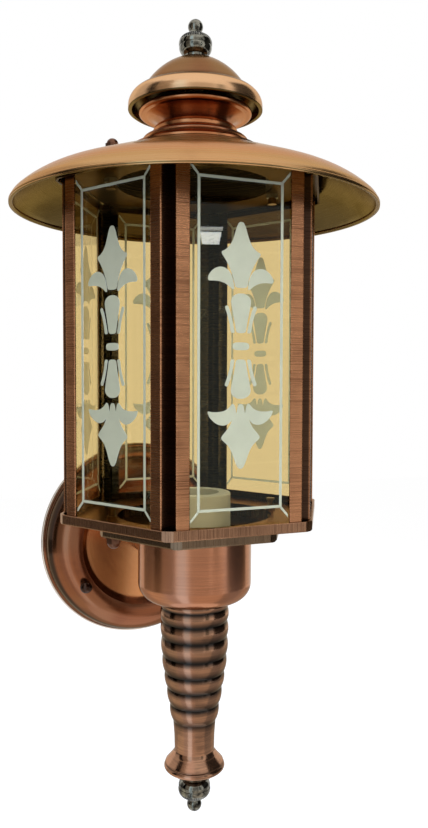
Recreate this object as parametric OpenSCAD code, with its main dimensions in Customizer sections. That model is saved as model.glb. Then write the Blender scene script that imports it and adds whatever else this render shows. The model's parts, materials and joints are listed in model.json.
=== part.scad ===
// Hexagonal wall lantern in antique copper, built from sheet-metal trays, grooved corner
// posts, printed panes, a spun roof with a vented crown, a round cup with a ribbed tail,
// and a round canopy with a swivel mounting bar.
// Row frame, in mm: origin on the wall at the centre of the canopy's back, +Y into the wall,
// +Z up, the lantern hangs out at -Y. Lantern heights below are measured from the lip of the
// base tray.

/* [Placing] */
// distance from the wall to the lantern's own axis
reach = 136; // [125:1:180]
// height of the base tray's lip above the centre of the canopy
lip_above_wall = 45.6; // [40:0.1:50]

/* [Cage] */
// middle of a side to the lantern's axis, on the outer face of the posts
cage_apothem = 73.7; // [70:0.1:80]
// height of the top tray's plate above the base tray's lip
cage_top = 200.8; // [195:0.1:206]
// sheet the posts are folded from
post_sheet = 1.5; // [1:0.1:2]
// opening of the groove that runs down each corner post
groove_width = 8.4; // [5:0.1:9]
// depth of that groove
groove_depth = 5.0; // [2:0.1:8]
// width of each flange beside the groove
flange_width = 7.2; // [5:0.1:10]

/* [Trays] */
// sheet the trays, the cup and the canopy are made from
tray_sheet = 1.2; // [0.8:0.1:2]
// depth of the base tray
base_depth = 5.9; // [5:0.1:8]
// depth of the under tray
under_depth = 9.5; // [7:0.1:12]
// middle of a side to the axis, under tray
under_apothem = 54.2; // [52:0.1:58]
// lip of the top tray, hanging down
top_lip = 3.6; // [2:0.1:6]
// radius of the round hole in the base tray and in the top tray
tray_hole_r = 48; // [40:0.5:49]
// width of the folded corner facets of a tray
corner_facet = 6.6; // [3:0.1:9]

/* [Panes] */
// thickness of the glass
glass_t = 3; // [2:0.1:4]
// width of a pane
pane_width = 71; // [64:0.5:72]
// thickness of the printed pattern
print_t = 0.25; // [0.2:0.05:0.5]
// half the width of the printed border, to the middle of its line
border_half = 24.6; // [20:0.1:27]
// width of the printed line
border_line = 2.0; // [1:0.1:3]
// height of the middle of the ornament
ornament_mid = 98.7; // [90:0.1:110]

/* [Roof and crown] */
// radius of the roof where the straight slope ends
slope_end_r = 90; // [80:0.5:100]
// height there
slope_end_z = 203.0; // [200:0.1:206]
// sheet the roof and the crown cap are spun from
roof_sheet = 1.1; // [0.8:0.1:2]
// distance of the two roof screws and the two base screws from the axis
screw_r = 53; // [51:0.1:55]
// radius of the crown cap at its brim
cap_r = 41.8; // [38:0.1:46]

/* [Cup and tail] */
// radius of the cup
cup_r = 36.1; // [34:0.1:40]
// height of the cup's floor, outside
cup_floor = -59.5; // [-62:0.1:-58]
// rounding of the cup's lower edge
cup_round = 11.5; // [6:0.1:14]
// height where the tail ends and the lower finial starts
tail_end = -175.4; // [-185:0.1:-174]

/* [Lampholder] */
// radius of the ceramic body
holder_r = 22.3; // [20:0.1:24]
// height of its mouth
holder_top = 9.2; // [5:0.1:15]
// bore of the screw shell
shell_r = 13.2; // [13:0.1:13.4]

/* [Canopy] */
// radius of the canopy at the wall
canopy_r = 75.7; // [72:0.1:80]
// depth of the recessed centre in front of the wall
canopy_floor = 18; // [16:0.1:20]
// distance of the two ball screws from the canopy's centre
ball_screw_r = 55.5; // [54:0.5:58]
// angle of the swivel bar, against the horizontal
swivel_angle = 32; // [0:1:60]
// radius of the arm
arm_r = 8; // [7:0.1:9]

/* [Hidden] */
$fn = 96;
gap = 0.3;
lip_inner = cage_apothem;
base_outer = cage_apothem + 1.5;
top_outer = cage_apothem + 3.0;
tray_floor = -base_depth + tray_sheet;
glass_front = cage_apothem - post_sheet - 0.05;
under_bottom = -base_depth - under_depth;
slope_a = 20.3;
shoulder_a = 42.7;
roof_arc_r = 62.2;
rim_arc_r = 8.8;
roof_arc_c = [slope_end_r - roof_arc_r * sin(slope_a), slope_end_z - roof_arc_r * cos(slope_a)];
shoulder_p = [roof_arc_c[0] + roof_arc_r * sin(shoulder_a), roof_arc_c[1] + roof_arc_r * cos(shoulder_a)];
rim_arc_c = [shoulder_p[0] - rim_arc_r * sin(shoulder_a), shoulder_p[1] - rim_arc_r * cos(shoulder_a)];
cap_dome_c = [-5.4, 237.7];
cap_dome_r = 43.7;
brim_arc_r = 9.3;
brim_c = [cap_r - brim_arc_r, 249.6];

// distance along the slope line of the roof at radius r
function slope_z(r) = slope_end_z + (slope_end_r - r) * tan(slope_a);

// top of the seals, where the cap nuts stand, and underside of the roof over the spacers
seal_top = slope_z(screw_r) + 1.8;
spacer_top = slope_z(screw_r + 4.2) - roof_sheet / cos(slope_a) - 0.5;

module at_lantern() { translate([0, -reach, lip_above_wall]) children(); }

// crown pieces are drawn over a roof whose slope would meet the axis at this height
crown_drawn_at = 236.292;
crown_up = slope_z(0) - crown_drawn_at;
module at_crown() { at_lantern() translate([0, 0, crown_up]) children(); }

// wedge of a circle, from angle a0 to a1, under half a turn
module wedge(a0, a1) {
  am = (a0 + a1) / 2;
  polygon([[0, 0], [300 * cos(a0), 300 * sin(a0)], [400 * cos(am), 400 * sin(am)],
    [300 * cos(a1), 300 * sin(a1)]]);
}

// spun sheet of thickness t along an arc with outer radius r round c
module arc_band(c, r, t, a0, a1) {
  translate(c) intersection() {
    difference() { circle(r = r); circle(r = r - t); }
    wedge(a0, a1);
  }
}

// hexagon with its corners folded over, sides facing 30, 90, 150 degrees
module tray_outline(a, facet) {
  rc = a / cos(30);
  d = facet / 2;
  polygon([for (k = [0:5]) for (s = [-1, 1])
    let (p = rc - d * tan(30), l = s * d)
    [p * cos(60 * k) - l * sin(60 * k), p * sin(60 * k) + l * cos(60 * k)]]);
}

// long edge of a tray taken off at 45 degrees, on the six sides
module edge_cuts(a, z, c) {
  for (k = [0:5]) rotate([0, 0, 60 * k + 30]) translate([a, 0, z]) rotate([0, 45, 0])
    cube([c * sqrt(2), 2.4 * a, c * sqrt(2)], center = true);
}

// hexagonal nut, flats vertical
module hex_nut(r, h, bore) {
  difference() {
    cylinder(r = r, h = h, $fn = 6);
    translate([0, 0, -1]) cylinder(r = bore, h = h + 2);
  }
}

// the two screw places in the plan of the lantern, left and right
module at_screws() { for (s = [-1, 1]) translate([s * screw_r, 0, 0]) children(); }

// crown

// finial standing on z = 0: foot, two-part bulb with a knurled band, neck and ball
module finial_shape() {
  difference() {
    rotate_extrude() {
      translate([0, -2.6]) square([6.8, 4.4]);
      translate([0, 1.3]) square([5.4, 12.6]);
      translate([5.2, 6.3]) intersection() { circle(r = 5.0); translate([-5, -5]) square([12, 6.2]); }
      translate([5.2, 8.8]) intersection() { circle(r = 5.2); translate([-5, -1.2]) square([12, 8]); }
      translate([0, 6.2]) square([9.5, 2.6]);
      polygon([[0, 13], [6.2, 13], [5.2, 14.2], [4.2, 15.2], [3.8, 16.2], [3.8, 17.4], [0, 17.4]]);
      intersection() {
        translate([0, 19.1]) circle(r = 4.7);
        translate([0, 10]) square([10, 20]);
      }
    }
    for (k = [0:39]) rotate([0, 0, 9 * k]) translate([5.2, 0, 8.8]) rotate([0, -38, 0])
      translate([5.34, 0, 0]) cylinder(r = 0.5, h = 4.6, center = true, $fn = 12);
    translate([0, 0, -5]) cylinder(r = 3 + gap, h = 15);
  }
}

module top_finial() {
  color([0.55, 0.53, 0.48]) at_crown() difference() {
    translate([0, 0, 279.8]) finial_shape();
    rotate_extrude() intersection() {
      translate(cap_dome_c) circle(r = cap_dome_r + gap);
      translate([0, 240]) square([60, 60]);
    }
  }
}

// spun cap: dome, brim rolled out round a crease, open below
module crown_cap() {
  color([0.72, 0.5, 0.34]) at_crown() rotate_extrude() intersection() {
    union() {
      arc_band(cap_dome_c, cap_dome_r, roof_sheet, 29, 86);
      arc_band(brim_c, brim_arc_r, roof_sheet + 0.3, 0, 92);
      translate([cap_r - 1.6, 247.3]) square([1.6, 2.4]);
      translate([cap_r - 1.5, 247.5]) circle(r = 1.0);
    }
    translate([3 + gap, 240]) square([60, 60]);
  }
}

module crown_rod() {
  color([0.6, 0.58, 0.52]) at_crown() translate([0, 0, 230]) cylinder(r = 3, h = 59);
}

module crown_spacer() {
  color([0.6, 0.58, 0.52]) at_crown() translate([0, 0, 239]) difference() {
    cylinder(r = 5, h = 39.2);
    translate([0, 0, -1]) cylinder(r = 3 + gap, h = 42);
  }
}

module crown_nut() {
  color([0.6, 0.58, 0.52]) at_crown() translate([0, 0, 232.5]) hex_nut(6, 4, 3 + gap);
}

// vented neck: flange, concave throat, collar and stepped foot on the roof
module neck() {
  color([0.62, 0.36, 0.22]) at_crown() difference() {
    rotate_extrude() difference() {
      union() {
        translate([0, 243.8]) square([33.4, 3.6]);
        translate([33.4, 245.6]) circle(r = 1.8);
        difference() {
          translate([0, 230.5]) square([32.9, 13.5]);
          translate([33, 230.5]) circle(r = 13.5);
        }
        translate([23.2, 233.9]) circle(r = 3.2);
        difference() {
          translate([0, 220]) square([31.4, 13.9]);
          translate([31.4, 233.8]) circle(r = 5);
        }
        translate([31.9, 228.4]) circle(r = 1.0);
        difference() {
          translate([0, 218]) square([41.5, 9.7]);
          translate([41.5, 231.8]) circle(r = 9.4);
        }
      }
      polygon([[0, slope_z(0) + gap - crown_up], [60, slope_z(60) + gap - crown_up], [60, 190], [0, 190]]);
      translate([0, 239]) square([15.6, 20]);
      translate([0, 210]) square([15.6, 26.5]);
    }
    for (k = [0:5]) rotate([0, 0, 60 * k]) translate([9.8, 0, 230]) cylinder(r = 3.4, h = 20);
    translate([0, 0, 230]) cylinder(r = 3 + gap, h = 20);
  }
}

// roof

// section of everything under the roof's skin, t in from the outside, down to the rim
module under_roof(t) {
  intersection() {
    union() {
      polygon([[20, 150], [slope_end_r - 8, 150],
        [slope_end_r - t * sin(slope_a), slope_end_z - t * cos(slope_a)],
        [20, slope_z(20) - t / cos(slope_a)]]);
      translate(roof_arc_c) intersection() {
        circle(r = roof_arc_r - t);
        wedge(90 - shoulder_a, 90 - slope_a + 8);
      }
      translate(rim_arc_c) intersection() {
        circle(r = rim_arc_r - t);
        wedge(-60, 90 - shoulder_a + 15);
      }
    }
    translate([20, rim_arc_c[1] + 0.8]) square([120, 80]);
  }
}

module roof_profile() {
  difference() {
    under_roof(0);
    under_roof(roof_sheet);
  }
  translate([rim_arc_c[0] + rim_arc_r - 1.3, rim_arc_c[1] + 2.0]) circle(r = 1.35);
}

module roof() {
  color([0.78, 0.55, 0.38]) at_lantern() difference() {
    rotate_extrude() roof_profile();
    at_screws() translate([0, 0, spacer_top - 6]) cylinder(r = 2 + gap, h = 20);
  }
}

module roof_screws() {
  color([0.6, 0.5, 0.3]) at_lantern() at_screws() {
    translate([0, 0, cage_top - 6.4]) cylinder(r = 2, h = seal_top + 3.9 - cage_top + 6.4);
    translate([0, 0, cage_top - 6.4]) cylinder(r = 2.9, h = 3.4);
  }
}

// dome nut standing on z = 0, hollow for the screw
module dome_nut(across, h_hex, r_dome) {
  difference() {
    union() {
      cylinder(r = across, h = h_hex, $fn = 6);
      translate([0, 0, h_hex - 0.3]) intersection() {
        sphere(r = r_dome);
        cylinder(r = r_dome + 1, h = 10);
      }
    }
    translate([0, 0, -1]) cylinder(r = 2 + gap, h = h_hex + 2.4);
  }
}

module roof_cap_nuts() {
  color([0.45, 0.3, 0.2]) at_lantern() at_screws() translate([0, 0, seal_top]) dome_nut(4.3, 3, 3.6);
}

// moulded seals that level the roof's slope under the nuts
module roof_seals() {
  color([0.15, 0.14, 0.13]) at_lantern() difference() {
    at_screws() translate([0, 0, seal_top - 5.5]) difference() {
      cylinder(r = 4.9, h = 5.5);
      translate([0, 0, -1]) cylinder(r = 2 + gap, h = 8);
    }
    rotate_extrude() polygon([[0, slope_z(0) + gap], [80, slope_z(80) + gap], [80, 190], [0, 190]]);
  }
}

module roof_spacers() {
  color([0.6, 0.58, 0.52]) at_lantern() at_screws() translate([0, 0, cage_top + tray_sheet])
    difference() {
      cylinder(r = 4.2, h = spacer_top - cage_top - tray_sheet);
      translate([0, 0, -1]) cylinder(r = 2 + gap, h = spacer_top - cage_top + 1);
    }
}

module roof_tray_nuts() {
  color([0.6, 0.58, 0.52]) at_lantern() at_screws() translate([0, 0, cage_top - 2.4])
    hex_nut(4.2, 2.4, 2 + gap);
}

// cage

// top tray: plate with a round hole, lip hanging down outside the posts
module top_tray() {
  color([0.35, 0.2, 0.13]) at_lantern() difference() {
    translate([0, 0, cage_top - top_lip]) linear_extrude(top_lip + tray_sheet)
      tray_outline(top_outer, corner_facet);
    translate([0, 0, cage_top - top_lip - 1]) linear_extrude(top_lip + 1)
      tray_outline(top_outer - tray_sheet, corner_facet - 0.7);
    edge_cuts(top_outer, cage_top + tray_sheet, 0.6);
    translate([0, 0, cage_top - 1]) cylinder(r = tray_hole_r, h = 4);
    at_screws() translate([0, 0, cage_top - 1]) cylinder(r = 2 + gap, h = 4);
  }
}

// strip of sheet t thick from p to q, with round ends
module strip(p, q, t) {
  d = q - p;
  translate(p) rotate(atan2(d[1], d[0])) translate([0, -t / 2]) square([norm(d), t]);
  translate(p) circle(r = t / 2, $fn = 24);
  translate(q) circle(r = t / 2, $fn = 24);
}

// folded corner post, seen from above, corner towards +X
module post_profile() {
  t = post_sheet;
  rc = cage_apothem / cos(30);
  s_out = [rc - groove_width / 2 * tan(30), groove_width / 2];
  b = atan2(groove_width / 2, groove_depth);
  m0 = s_out[0] - groove_depth - t / 2 / sin(b);
  rm = (cage_apothem - t / 2) / cos(30);
  s = (rm - m0) / (cos(b) + sin(b) * tan(30));
  m1 = [m0 + s * cos(b), s * sin(b)];
  m2 = m1 + (flange_width - t / 2) * [-sin(30), cos(30)];
  for (k = [0, 1]) mirror([0, k]) {
    strip([m0, 0], m1, t);
    strip(m1, m2, t);
  }
}

// post k of 6, post 1 on the left at -X, then round towards the front
module post(k) {
  color([0.5, 0.28, 0.18]) at_lantern() rotate([0, 0, 180 + 60 * (k - 1)])
    translate([0, 0, tray_floor]) linear_extrude(cage_top - tray_floor) post_profile();
}
module post_1() { post(1); }
module post_2() { post(2); }
module post_3() { post(3); }
module post_4() { post(4); }
module post_5() { post(5); }
module post_6() { post(6); }

// side k of 6, side 1 between post 1 and post 2; the front is side 2
module on_side(k) { at_lantern() rotate([0, 0, 60 * (k - 2)]) children(); }

module pane(k) {
  color([0.85, 0.85, 0.8, 0.35]) on_side(k)
    translate([-pane_width / 2, -glass_front, tray_floor])
      cube([pane_width, glass_t, cage_top - tray_floor - 0.4]);
}
module pane_1() { pane(1); }
module pane_2() { pane(2); }
module pane_3() { pane(3); }
module pane_4() { pane(4); }
module pane_5() { pane(5); }
module pane_6() { pane(6); }

// what both halves of the ornament share: a drop and a curved bar on each side of it
module ornament_drop() {
  half = [[2.7, 7.2], [3.3, 11], [4.1, 15], [4.9, 18.8], [5.7, 22.6], [5.9, 24.4], [5.5, 25.9],
    [4.6, 27.1], [3.2, 28.0], [1.6, 28.6]];
  polygon(concat(half, [for (i = [len(half) - 1:-1:0]) [-half[i][0], half[i][1]]]));
  for (s = [0, 1]) mirror([s, 0])
    polygon([[3.8, 7.2], [6.0, 7.2], [6.7, 12.5], [8.1, 17.2], [9.7, 21.2], [7.9, 22.2],
      [6.4, 18.6], [5.2, 14], [4.3, 10]]);
}

// upper half of the fleur-de-lis pair, drawn from the middle band upwards
module ornament_top() {
  spear = [[0.9, 0], [1.8, 0.9], [2.9, 3.4], [3.9, 6.8], [5.2, 10.4], [7.0, 13.4], [9.6, 15.6],
    [11.5, 16.7], [11.3, 17.7], [9.4, 20.2], [7.0, 24.2], [5.2, 28.5], [4.0, 32.5], [3.4, 35.4]];
  tip = 67.1;
  ornament_drop();
  polygon(concat([for (p = spear) [p[0], tip - p[1]]],
    [for (i = [len(spear) - 1:-1:0]) [-spear[i][0], tip - spear[i][1]]]));
  for (s = [0, 1]) mirror([s, 0])
    polygon([[19.3, 35.7], [18.9, 37.4], [17.6, 39.6], [15.4, 41.5], [12.6, 42.5], [9.8, 42.2],
      [7.4, 40.6], [5.7, 38.0], [4.7, 34.6], [4.2, 31.0], [5.0, 30.8], [7.0, 32.4], [9.6, 33.9],
      [12.6, 34.8], [15.8, 35.0], [18.6, 34.8]]);
}

// lower half, drawn upwards too: the leaves run into the spear, with two small notches
module ornament_bottom() {
  half = [[0.9, 67.1], [1.8, 66.2], [2.9, 63.7], [3.9, 60.3], [5.2, 56.7], [7.0, 53.7], [9.6, 51.5],
    [11.5, 50.4], [11.3, 49.4], [9.4, 46.9], [7.2, 43.9], [6.3, 42.6], [8.2, 43.4], [10.4, 43.6],
    [13.2, 43.1], [16.2, 41.2], [18.2, 38.7], [19.3, 36.3], [19.0, 35.7], [15.6, 35.9],
    [12.0, 35.4], [8.6, 34.2], [6.4, 32.9], [4.9, 31.6]];
  ornament_drop();
  difference() {
    polygon(concat(half, [for (i = [len(half) - 1:-1:0]) [-half[i][0], half[i][1]]]));
    for (s = [-1, 1]) translate([s * 2.7 - 0.25, 31]) square([0.5, 4.4]);
  }
}

// printed pattern of one pane, x across, y up
module print_pattern() {
  z0 = 9.4;
  z1 = 188.7;
  w = border_line / 2;
  b = border_half;
  difference() {
    translate([-b - w, z0 - w]) square([2 * b + 2 * w, z1 - z0 + 2 * w]);
    translate([-b + w, z0 + w]) square([2 * b - 2 * w, z1 - z0 - 2 * w]);
  }
  for (s = [0, 1]) mirror([s, 0]) {
    polygon([[b - w, z1 + w], [b + w, z1 - w], [29.6, z1 + 4.6], [29.6, z1 + 7.4]]);
    polygon([[b - w, z0 - w], [b + w, z0 + w], [29.6, z0 - 4.2], [29.6, z0 - 7.0]]);
  }
  translate([0, ornament_mid]) {
    ornament_top();
    mirror([0, 1]) ornament_bottom();
    translate([-3.9, -2.1]) square([7.8, 4.2]);
    for (s = [-1, 1]) translate([s * 3.9, 0]) {
      translate([-1, -1.1]) square([2, 2.2]);
      translate([0, 1.1]) circle(r = 1);
      translate([0, -1.1]) circle(r = 1);
    }
  }
}

module pane_prints() {
  color([0.85, 0.88, 0.84]) for (k = [1:6]) on_side(k)
    translate([0, -glass_front, 0]) rotate([90, 0, 0]) linear_extrude(print_t) print_pattern();
}

// trays below

module base_tray() {
  color([0.5, 0.28, 0.18]) at_lantern() difference() {
    translate([0, 0, -base_depth]) linear_extrude(base_depth) tray_outline(base_outer, corner_facet);
    translate([0, 0, tray_floor]) linear_extrude(base_depth) tray_outline(lip_inner, corner_facet - 0.9);
    edge_cuts(base_outer, -base_depth, 0.7);
    edge_cuts(base_outer, 0, 0.4);
    translate([0, 0, -base_depth - 1]) cylinder(r = tray_hole_r, h = 4);
    at_screws() translate([0, 0, -base_depth - 1]) cylinder(r = 2 + gap, h = 4);
  }
}

module under_tray() {
  t = tray_sheet;
  color([0.5, 0.28, 0.18]) at_lantern() difference() {
    translate([0, 0, under_bottom]) linear_extrude(under_depth) tray_outline(under_apothem, corner_facet);
    translate([0, 0, under_bottom + t]) linear_extrude(under_depth)
      tray_outline(under_apothem - t, corner_facet - 0.7);
    edge_cuts(under_apothem, under_bottom, 1.0);
    translate([0, 0, under_bottom - 1]) cylinder(r = 27, h = 4);
    at_screws() translate([0, 0, under_bottom - 1]) cylinder(r = 2 + gap, h = 4);
  }
}

module base_screws() {
  color([0.7, 0.55, 0.3]) at_lantern() at_screws() {
    translate([0, 0, under_bottom - 6]) cylinder(r = 2, h = 6 + base_depth + under_depth + 2.0);
    translate([0, 0, 1.0]) cylinder(r = 2.7, h = 1.4);
    translate([0, 0, tray_floor]) cylinder(r = 3.1, h = 1.8);
  }
}

module base_washers() {
  color([0.3, 0.2, 0.15]) at_lantern() at_screws() translate([0, 0, under_bottom - 1]) difference() {
    cylinder(r = 5.6, h = 1);
    translate([0, 0, -1]) cylinder(r = 2 + gap, h = 3);
  }
}

module base_cap_nuts() {
  color([0.3, 0.2, 0.15]) at_lantern() at_screws() translate([0, 0, under_bottom - 1])
    mirror([0, 0, 1]) dome_nut(4.4, 3.6, 3.8);
}

// lampholder

module holder_body() {
  color([0.82, 0.82, 0.78]) at_lantern() difference() {
    rotate_extrude() difference() {
      union() {
        translate([0, -36]) square([holder_r - 1.5, holder_top + 36]);
        translate([0, -14]) square([holder_r, holder_top + 12.8]);
        translate([holder_r - 1.2, holder_top - 1.2]) circle(r = 1.2);
        translate([0, -34]) square([holder_r, 14]);
      }
      translate([0, -22]) square([15, 60]);
      translate([0, -40]) square([5.3, 30]);
      translate([0, -36.5]) square([11, 6.5]);
    }
    for (s = [-1, 1]) translate([0, s * 9.6, -40]) cylinder(r = 1.8, h = 30);
  }
}

// screw shell, ringed like its thread, with a flange at the bottom for the two screws
module holder_shell() {
  color([0.75, 0.6, 0.32]) at_lantern() difference() {
    rotate_extrude() difference() {
      union() {
        translate([0, -22]) square([13.9, 25]);
        for (k = [0:4]) translate([13.8, -15.9 + 4.1 * k]) circle(r = 0.85, $fn = 24);
      }
      translate([-1, -18]) square([shell_r + 1, 30]);
      translate([-1, -21.2]) square([shell_r, 4]);
      for (k = [0:4]) translate([shell_r, -15.9 + 4.1 * k]) circle(r = 0.75, $fn = 24);
      translate([-1, -23]) square([8.1, 4]);
    }
    for (s = [-1, 1]) translate([0, s * 9.6, -24]) cylinder(r = 1.5 + gap, h = 6);
  }
}

module holder_contact() {
  color([0.75, 0.6, 0.32]) at_lantern() {
    translate([0, 0, -22]) difference() {
      cylinder(r = 6.8, h = 1);
      translate([0, 0, -1]) cylinder(r = 5.4, h = 3);
    }
    translate([-2.5, -6, -21.4]) cube([5, 12, 0.8]);
    translate([0, 0, -21]) cylinder(r = 3.2, h = 3);
  }
}

module holder_screws() {
  color([0.7, 0.6, 0.4]) at_lantern() for (s = [-1, 1]) translate([0, s * 9.6, -38]) {
    cylinder(r = 1.5, h = 17.2);
    translate([0, 0, 16.8]) difference() {
      cylinder(r = 2.4, h = 1.8);
      translate([-3, -0.4, 1.1]) cube([6, 0.8, 2]);
    }
  }
}

// cross plate and tube that carry the ceramic body off the cup's floor
module holder_spacer() {
  color([0.6, 0.58, 0.52]) at_lantern() difference() {
    union() {
      translate([-6, -15, -37.5]) cube([12, 30, 1.5]);
      translate([0, 0, cup_floor + tray_sheet + 4]) cylinder(r = 8, h = -37.5 - cup_floor - tray_sheet - 4);
    }
    translate([0, 0, -70]) cylinder(r = 5 + gap, h = 50);
    for (s = [-1, 1]) translate([0, s * 9.6, -40]) cylinder(r = 1.8, h = 10);
  }
}

module holder_nut() {
  color([0.6, 0.58, 0.52]) at_lantern() translate([0, 0, cup_floor + tray_sheet])
    hex_nut(9.2, 4, 5 + gap);
}

module centre_nipple() {
  color([0.6, 0.58, 0.52]) at_lantern() translate([0, 0, -78]) difference() {
    cylinder(r = 5, h = 46);
    translate([0, 0, -1]) cylinder(r = 3 + gap, h = 48);
  }
}

// cup and tail

module cup_outline(t) {
  translate([0, cup_floor + cup_round]) square([cup_r - t, under_bottom - cup_floor - cup_round]);
  translate([0, cup_floor + t]) square([cup_r - cup_round, cup_round]);
  intersection() {
    translate([cup_r - cup_round, cup_floor + cup_round]) circle(r = cup_round - t);
    translate([0, cup_floor]) square([100, cup_round + 0.01]);
  }
}

module cup() {
  color([0.75, 0.5, 0.32]) at_lantern() difference() {
    rotate_extrude() difference() {
      cup_outline(0);
      cup_outline(tray_sheet);
      translate([0, under_bottom - 0.01]) square([cup_r - tray_sheet, 1]);
    }
    translate([0, 0, cup_floor - 1]) cylinder(r = 5 + gap, h = 5);
    translate([0, 20, -lip_above_wall]) rotate([-90, 0, 0]) cylinder(r = 5 + gap, h = 30);
  }
}

// convex round between two grooves, a above b, standing h proud of them
module tail_round(ra, a, rb, b, h) {
  c = norm([ra - rb, a - b]);
  rho = c * c / (8 * h) + h / 2;
  n = [(a - b) / c, (rb - ra) / c];
  m = [(ra + rb) / 2, (a + b) / 2];
  intersection() {
    translate(m - n * (rho - h)) circle(r = rho);
    polygon([[rb - 1.5, b - 0.3], [rb + 5, b - 0.3], [ra + 5, a + 0.3], [ra - 1.5, a + 0.3]]);
  }
}

module tail() {
  zg = [cup_floor, -64.3, -73.2, -83.4, -95.3, -106.2, -116.3, -127.3, -138.2];
  rg = [21.2, 21.2, 20.9, 20.8, 20.3, 19.0, 17.4, 15.6, 13.7];
  n = len(zg) - 1;
  color([0.6, 0.45, 0.3]) at_lantern() difference() {
    rotate_extrude() difference() {
      union() {
        polygon(concat([[0, -164], [12.8, -164], [12.8, -156.6], [13.0, -148], [13.7, -138.4]],
          [for (i = [n - 1:-1:1]) [rg[i] - 0.5, zg[i]]], [[rg[0] - 0.5, zg[0]], [0, zg[0]]]));
        intersection() {
          for (i = [0:n - 1]) tail_round(rg[i], zg[i], rg[i + 1], zg[i + 1], i == 0 ? 0.7 : 1.0);
          translate([0, zg[n]]) square([60, zg[0] - zg[n]]);
        }
        difference() {
          translate([0, -160.6]) square([14.4, 4.2]);
          translate([18.2, -156.4]) circle(r = 5.5);
        }
        polygon([[0, -167], [17.6, -167], [18.5, -166.3], [18.7, -165.5], [14.2, -160.4], [0, -160.4]]);
        translate([17.5, -168.1]) circle(r = 2.0);
        polygon([[0, tail_end], [10.8, tail_end], [18.7, -169.6], [17.5, -166.6], [0, -166.6]]);
      }
      polygon([[-1, -172], [9, -172], [13.5, -167], [9.5, -160], [9.5, -145], [16.5, -100],
        [16.5, -66], [-1, -66]]);
    }
    translate([0, 0, -70]) cylinder(r = 5 + gap, h = 20);
    translate([0, 0, tail_end - 1]) cylinder(r = 3 + gap, h = 12);
  }
}

module tail_rod() {
  color([0.6, 0.58, 0.52]) at_lantern() translate([0, 0, tail_end - 9.5])
    cylinder(r = 3, h = 9.5 - tail_end - 72);
}

module bottom_finial() {
  color([0.55, 0.53, 0.48]) at_lantern() translate([0, 0, tail_end]) mirror([0, 0, 1]) difference() {
    finial_shape();
    translate([0, 0, -5]) cylinder(r = 12, h = 5);
  }
}

// arm and canopy

module along_arm() { translate([0, 0, 0]) rotate([90, 0, 0]) children(); }

// arm on the canopy's axis: tube with a threaded spigot at each end
module arm() {
  front = reach - cup_r - 2.4;
  color([0.55, 0.32, 0.2]) along_arm() difference() {
    union() {
      translate([0, 0, canopy_floor]) cylinder(r = arm_r, h = front - canopy_floor);
      translate([0, 0, canopy_floor - 9]) cylinder(r = 5, h = front - canopy_floor + 20);
    }
    cylinder(r = 3.4, h = reach);
  }
}

// saddle between the arm and the round cup
module arm_saddle() {
  front = reach - cup_r - 2.4;
  color([0.55, 0.32, 0.2]) difference() {
    along_arm() difference() {
      translate([0, 0, front - 5]) cylinder(r = arm_r + 2.6, h = 9);
      translate([0, 0, front - 6]) cylinder(r = arm_r + gap, h = 6);
      cylinder(r = 5 + gap, h = reach);
    }
    at_lantern() rotate_extrude() union() {
      cup_outline(-gap);
      translate([0, -30]) square([cup_r + gap, 30]);
    }
  }
}

module arm_nuts() {
  color([0.6, 0.58, 0.52]) along_arm() {
    translate([0, 0, reach - 33.0]) hex_nut(8.4, 3.4, 5 + gap);
    translate([0, 0, canopy_floor - tray_sheet - 4]) hex_nut(8.8, 4, 5 + gap);
  }
}

// section of the space under the canopy's ring, t in from the outside
module canopy_section(t) {
  intersection() {
    translate([canopy_r - 23.2, 4.9]) circle(r = 20 - t);
    translate([canopy_r - 27.1 + t / 2, -1]) square([40, 60]);
  }
}

// canopy: flat flange, hollow step, rolled ring and recessed floor
module canopy() {
  t = tray_sheet;
  color([0.6, 0.36, 0.24]) along_arm() difference() {
    rotate_extrude() intersection() {
      translate([0, 0]) square([100, 60]);
      union() {
        difference() {
          union() {
            canopy_section(0);
            difference() {
              translate([canopy_r - 6.7, 0]) square([5.7, 4.9]);
              translate([canopy_r + 0.6, 4.9]) circle(r = 3.9);
            }
          }
          canopy_section(t);
          translate([canopy_r - 15.7, -1]) square([11.4, 2.2]);
          translate([canopy_r - 35.7, -1]) square([10.2, 23.5]);
        }
        translate([canopy_r - 1.0, 1.0]) circle(r = 1.0);
        translate([canopy_r - 3.7, 0]) square([2.7, 1.2]);
        translate([canopy_r - 75.7, 0]) polygon([[44.2, canopy_floor], [45.0, canopy_floor - t],
          [46.2, canopy_floor - t], [49.4, 22.2], [50.2, 23.1], [50.2, 24.4], [49.0, 24.55], [48.0, 23.2]]);
        translate([0, canopy_floor - t]) square([canopy_r - 30.1, t]);
      }
    }
    translate([0, 0, 5]) cylinder(r = 5 + gap, h = 20);
    for (s = [0, 180]) rotate([0, 0, swivel_angle + s]) translate([ball_screw_r, 0, 10])
      cylinder(r = 2 + gap, h = 20);
  }
}

// ball-headed screws, down through the canopy into the swivel bar
module ball_screws() {
  color([0.2, 0.15, 0.12]) along_arm() for (s = [0, 180]) rotate([0, 0, swivel_angle + s])
    translate([ball_screw_r, 0, 0]) {
      translate([0, 0, 0.6]) cylinder(r = 2, h = 25);
      translate([0, 0, 24.95]) cylinder(r = 3.4, h = 2);
      translate([0, 0, 29.6]) sphere(r = 4.6);
    }
}

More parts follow.
